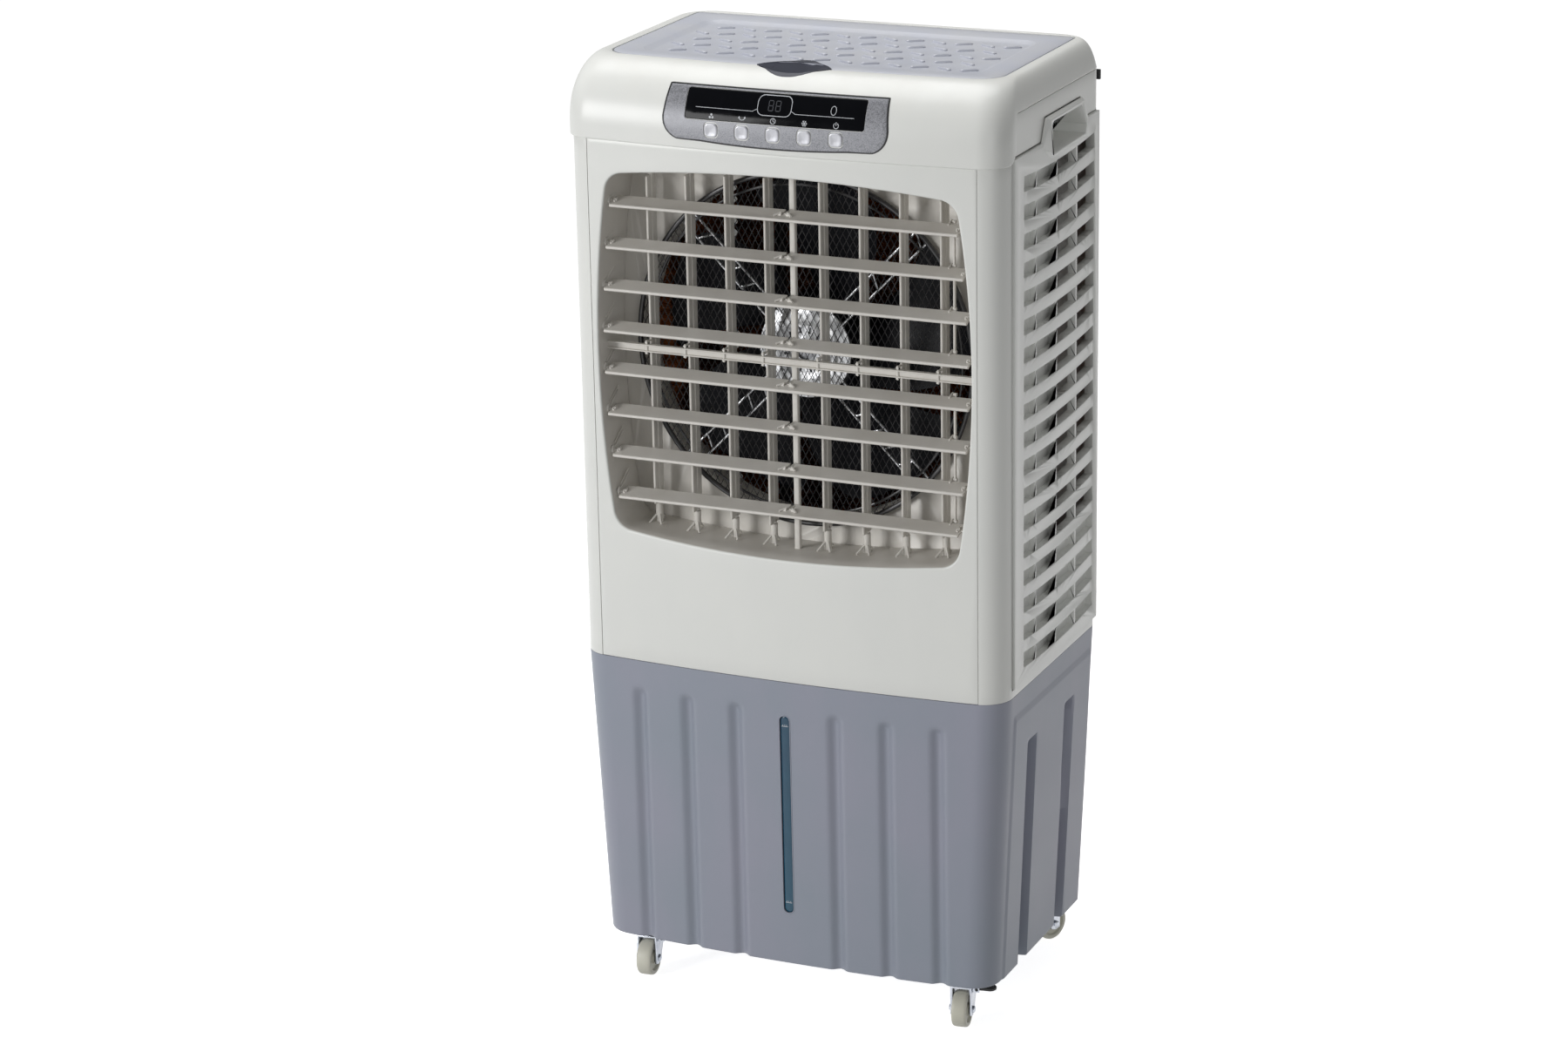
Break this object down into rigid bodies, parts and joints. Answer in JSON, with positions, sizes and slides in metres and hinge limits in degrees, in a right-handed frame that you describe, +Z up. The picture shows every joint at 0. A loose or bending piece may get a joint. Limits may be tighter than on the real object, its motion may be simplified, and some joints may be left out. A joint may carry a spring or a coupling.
{
  "type": "evaporative cooler",
  "caption": "Free-standing evaporative air cooler on casters: louvred outlet, hinged lid, side grilles with hand holds, button panel and a fluted water tank with a gauge.",
  "frame": {"origin": "on the floor, under the middle of the whole cooler", "axes": "+Z up; the air outlet and the control panel face -Y; +X is to the right seen from the front"},
  "size_m": [0.541, 0.3668, 1.1306],
  "materials": {
    "tank_plastic": "satin moulded, slate lavender",
    "gauge_blue": "translucent teal",
    "white_plastic": "satin moulded",
    "panel_silver": "fine metallic fleck",
    "panel_black": "high gloss",
    "pad_brown": "corrugated cellulose",
    "pump_black": "moulded",
    "guard_black": "powder coated",
    "bracket_zinc": "zinc plated",
    "motor_aluminium": "cast",
    "rotor_dark": "moulded",
    "trim_black": "moulded",
    "lid_grey": "satin moulded",
    "pull_navy": "satin gloss",
    "button_silver": "silver lacquer",
    "louvre_white": "satin moulded",
    "zinc": "bright zinc",
    "wheel_nylon": "moulded nylon"
  },
  "bodies": {
    "cabinet": {"water_tank": "tank_plastic", "gauge_window": "gauge_blue", "main_housing": "white_plastic", "front_panel": "white_plastic", "top_hood": "white_plastic", "control_panel": "panel_silver", "display_window": "panel_black", "side_grille_left": "white_plastic", "side_grille_right": "white_plastic", "rear_grille": "white_plastic", "cooling_pads": "pad_brown", "drip_tray": "white_plastic", "water_pump": "pump_black", "fan_shroud": "white_plastic", "fan_guard": "guard_black", "fan_motor": "motor_aluminium", "motor_bracket": "bracket_zinc", "swing_motor": "pump_black", "drain_plug": "trim_black", "cable_hooks": "trim_black", "cord_gland": "trim_black", "housing_screws": "zinc", "caster_plates": "zinc"},
    "lid": {"top_lid": "lid_grey", "finger_pull": "pull_navy"},
    "fan": {"fan_rotor": "rotor_dark"},
    "button_1": {"button_1": "button_silver"},
    "button_2": {"button_2": "button_silver"},
    "button_3": {"button_3": "button_silver"},
    "button_4": {"button_4": "button_silver"},
    "button_5": {"button_5": "button_silver"},
    "louvre_1": {"louvre_1": "louvre_white"},
    "louvre_2": {"louvre_2": "louvre_white"},
    "louvre_3": {"louvre_3": "louvre_white"},
    "louvre_4": {"louvre_4": "louvre_white"},
    "louvre_5": {"louvre_5": "louvre_white"},
    "louvre_6": {"louvre_6": "louvre_white"},
    "louvre_7": {"louvre_7": "louvre_white"},
    "louvre_8": {"louvre_8": "louvre_white"},
    "upper_link": {"louvre_link_upper": "louvre_white"},
    "lower_link": {"louvre_link_lower": "louvre_white"},
    "vane_1": {"vane_1": "louvre_white"},
    "vane_2": {"vane_2": "louvre_white"},
    "vane_3": {"vane_3": "louvre_white"},
    "vane_4": {"vane_4": "louvre_white"},
    "vane_5": {"vane_5": "louvre_white"},
    "vane_6": {"vane_6": "louvre_white"},
    "vane_7": {"vane_7": "louvre_white"},
    "vane_8": {"vane_8": "louvre_white"},
    "tie_bar": {"vane_tie_bar": "louvre_white"},
    "caster_1": {"caster_fork_1": "zinc"},
    "wheel_1": {"caster_wheel_1": "wheel_nylon"},
    "caster_2": {"caster_fork_2": "zinc"},
    "wheel_2": {"caster_wheel_2": "wheel_nylon"},
    "caster_3": {"caster_fork_3": "zinc"},
    "wheel_3": {"caster_wheel_3": "wheel_nylon"},
    "caster_4": {"caster_fork_4": "zinc"},
    "wheel_4": {"caster_wheel_4": "wheel_nylon"},
    "pedal_1": {"brake_pedal_1": "trim_black"},
    "pedal_2": {"brake_pedal_2": "trim_black"}
  },
  "joints": [
    {"name": "lid_hinge", "type": "hinge", "parent": "cabinet", "child": "lid", "pos_m": [0, 0.136, 1.123], "axis": [-1, 0, 0], "range_deg": [0, 95]},
    {"name": "fan_spin", "type": "hinge", "parent": "cabinet", "child": "fan", "pos_m": [0, -0.06, 0.7965], "axis": [0, -1, 0], "continuous": true},
    {"name": "button_1_press", "type": "slide", "parent": "cabinet", "child": "button_1", "axis": [0, 1, 0], "range_m": [0, 0.0012], "stiffness_N_per_m": 600, "springref_m": -0.0005},
    {"name": "button_2_press", "type": "slide", "parent": "cabinet", "child": "button_2", "axis": [0, 1, 0], "range_m": [0, 0.0012], "stiffness_N_per_m": 600, "springref_m": -0.0005},
    {"name": "button_3_press", "type": "slide", "parent": "cabinet", "child": "button_3", "axis": [0, 1, 0], "range_m": [0, 0.0012], "stiffness_N_per_m": 600, "springref_m": -0.0005},
    {"name": "button_4_press", "type": "slide", "parent": "cabinet", "child": "button_4", "axis": [0, 1, 0], "range_m": [0, 0.0012], "stiffness_N_per_m": 600, "springref_m": -0.0005},
    {"name": "button_5_press", "type": "slide", "parent": "cabinet", "child": "button_5", "axis": [0, 1, 0], "range_m": [0, 0.0012], "stiffness_N_per_m": 600, "springref_m": -0.0005},
    {"name": "louvre_1_tilt", "type": "hinge", "parent": "cabinet", "child": "louvre_1", "pos_m": [0, -0.153, 0.96665], "axis": [1, 0, 0], "range_deg": [-30, 30]},
    {"name": "louvre_2_tilt", "type": "hinge", "parent": "cabinet", "child": "louvre_2", "pos_m": [0, -0.153, 0.91675], "axis": [1, 0, 0], "range_deg": [-30, 30]},
    {"name": "louvre_3_tilt", "type": "hinge", "parent": "cabinet", "child": "louvre_3", "pos_m": [0, -0.153, 0.86685], "axis": [1, 0, 0], "range_deg": [-30, 30]},
    {"name": "louvre_4_tilt", "type": "hinge", "parent": "cabinet", "child": "louvre_4", "pos_m": [0, -0.153, 0.81695], "axis": [1, 0, 0], "range_deg": [-30, 30]},
    {"name": "louvre_5_tilt", "type": "hinge", "parent": "cabinet", "child": "louvre_5", "pos_m": [0, -0.153, 0.76705], "axis": [1, 0, 0], "range_deg": [-30, 30]},
    {"name": "louvre_6_tilt", "type": "hinge", "parent": "cabinet", "child": "louvre_6", "pos_m": [0, -0.153, 0.71715], "axis": [1, 0, 0], "range_deg": [-30, 30]},
    {"name": "louvre_7_tilt", "type": "hinge", "parent": "cabinet", "child": "louvre_7", "pos_m": [0, -0.153, 0.66725], "axis": [1, 0, 0], "range_deg": [-30, 30]},
    {"name": "louvre_8_tilt", "type": "hinge", "parent": "cabinet", "child": "louvre_8", "pos_m": [0, -0.153, 0.61735], "axis": [1, 0, 0], "range_deg": [-30, 30]},
    {"name": "upper_link_turn", "type": "hinge", "parent": "louvre_1", "child": "upper_link", "pos_m": [0.199, -0.13513, 0.97144], "axis": [1, 0, 0], "range_deg": [-30, 30]},
    {"name": "lower_link_turn", "type": "hinge", "parent": "louvre_5", "child": "lower_link", "pos_m": [0.199, -0.13513, 0.77184], "axis": [1, 0, 0], "range_deg": [-30, 30]},
    {"name": "vane_1_swing", "type": "hinge", "parent": "cabinet", "child": "vane_1", "pos_m": [-0.1813, -0.121, 0.7965], "axis": [0, 0, 1], "range_deg": [-30, 30]},
    {"name": "vane_2_swing", "type": "hinge", "parent": "cabinet", "child": "vane_2", "pos_m": [-0.1322, -0.121, 0.7965], "axis": [0, 0, 1], "range_deg": [-30, 30]},
    {"name": "vane_3_swing", "type": "hinge", "parent": "cabinet", "child": "vane_3", "pos_m": [-0.0831, -0.121, 0.7965], "axis": [0, 0, 1], "range_deg": [-30, 30]},
    {"name": "vane_4_swing", "type": "hinge", "parent": "cabinet", "child": "vane_4", "pos_m": [-0.034, -0.121, 0.7965], "axis": [0, 0, 1], "range_deg": [-30, 30]},
    {"name": "vane_5_swing", "type": "hinge", "parent": "cabinet", "child": "vane_5", "pos_m": [0.034, -0.121, 0.7965], "axis": [0, 0, 1], "range_deg": [-30, 30]},
    {"name": "vane_6_swing", "type": "hinge", "parent": "cabinet", "child": "vane_6", "pos_m": [0.0831, -0.121, 0.7965], "axis": [0, 0, 1], "range_deg": [-30, 30]},
    {"name": "vane_7_swing", "type": "hinge", "parent": "cabinet", "child": "vane_7", "pos_m": [0.1322, -0.121, 0.7965], "axis": [0, 0, 1], "range_deg": [-30, 30]},
    {"name": "vane_8_swing", "type": "hinge", "parent": "cabinet", "child": "vane_8", "pos_m": [0.1813, -0.121, 0.7965], "axis": [0, 0, 1], "range_deg": [-30, 30]},
    {"name": "tie_bar_turn", "type": "hinge", "parent": "vane_1", "child": "tie_bar", "pos_m": [-0.1813, -0.143, 0.793], "axis": [0, 0, 1], "range_deg": [-30, 30]},
    {"name": "caster_1_swivel", "type": "hinge", "parent": "cabinet", "child": "caster_1", "pos_m": [-0.204, -0.124, 0.054], "axis": [0, 0, 1], "continuous": true},
    {"name": "wheel_1_roll", "type": "hinge", "parent": "caster_1", "child": "wheel_1", "pos_m": [-0.20252, -0.14094, 0.022], "axis": [-0.9962, -0.0872, 0], "continuous": true},
    {"name": "pedal_1_press", "type": "hinge", "parent": "caster_1", "child": "pedal_1", "pos_m": [-0.18646, -0.12949, 0.047], "axis": [-0.0872, 0.9962, 0], "range_deg": [0, 14], "stiffness_Nm_per_rad": 0.05, "springref_deg": -17.19},
    {"name": "caster_2_swivel", "type": "hinge", "parent": "cabinet", "child": "caster_2", "pos_m": [0.204, -0.124, 0.054], "axis": [0, 0, 1], "continuous": true},
    {"name": "wheel_2_roll", "type": "hinge", "parent": "caster_2", "child": "wheel_2", "pos_m": [0.20637, -0.14083, 0.022], "axis": [-0.9903, -0.1392, 0], "continuous": true},
    {"name": "pedal_2_press", "type": "hinge", "parent": "caster_2", "child": "pedal_2", "pos_m": [0.22181, -0.12857, 0.047], "axis": [-0.1392, 0.9903, 0], "range_deg": [0, 14], "stiffness_Nm_per_rad": 0.05, "springref_deg": -17.19},
    {"name": "caster_3_swivel", "type": "hinge", "parent": "cabinet", "child": "caster_3", "pos_m": [-0.204, 0.124, 0.054], "axis": [0, 0, 1], "continuous": true},
    {"name": "wheel_3_roll", "type": "hinge", "parent": "caster_3", "child": "wheel_3", "pos_m": [-0.20981, 0.13997, 0.022], "axis": [0.9397, 0.342, 0], "continuous": true},
    {"name": "caster_4_swivel", "type": "hinge", "parent": "cabinet", "child": "caster_4", "pos_m": [0.204, 0.124, 0.054], "axis": [0, 0, 1], "continuous": true},
    {"name": "wheel_4_roll", "type": "hinge", "parent": "caster_4", "child": "wheel_4", "pos_m": [0.21119, 0.13941, 0.022], "axis": [0.9063, -0.4226, 0], "continuous": true}
  ],
  "couplings": [
    {"joint": "louvre_2_tilt", "follows": "louvre_1_tilt", "ratio": 1},
    {"joint": "louvre_3_tilt", "follows": "louvre_1_tilt", "ratio": 1},
    {"joint": "louvre_4_tilt", "follows": "louvre_1_tilt", "ratio": 1},
    {"joint": "upper_link_turn", "follows": "louvre_1_tilt", "ratio": -1},
    {"joint": "louvre_6_tilt", "follows": "louvre_5_tilt", "ratio": 1},
    {"joint": "louvre_7_tilt", "follows": "louvre_5_tilt", "ratio": 1},
    {"joint": "louvre_8_tilt", "follows": "louvre_5_tilt", "ratio": 1},
    {"joint": "lower_link_turn", "follows": "louvre_5_tilt", "ratio": -1},
    {"joint": "vane_2_swing", "follows": "vane_1_swing", "ratio": 1},
    {"joint": "vane_3_swing", "follows": "vane_1_swing", "ratio": 1},
    {"joint": "vane_4_swing", "follows": "vane_1_swing", "ratio": 1},
    {"joint": "vane_5_swing", "follows": "vane_1_swing", "ratio": 1},
    {"joint": "vane_6_swing", "follows": "vane_1_swing", "ratio": 1},
    {"joint": "vane_7_swing", "follows": "vane_1_swing", "ratio": 1},
    {"joint": "vane_8_swing", "follows": "vane_1_swing", "ratio": 1},
    {"joint": "tie_bar_turn", "follows": "vane_1_swing", "ratio": -1}
  ]
}
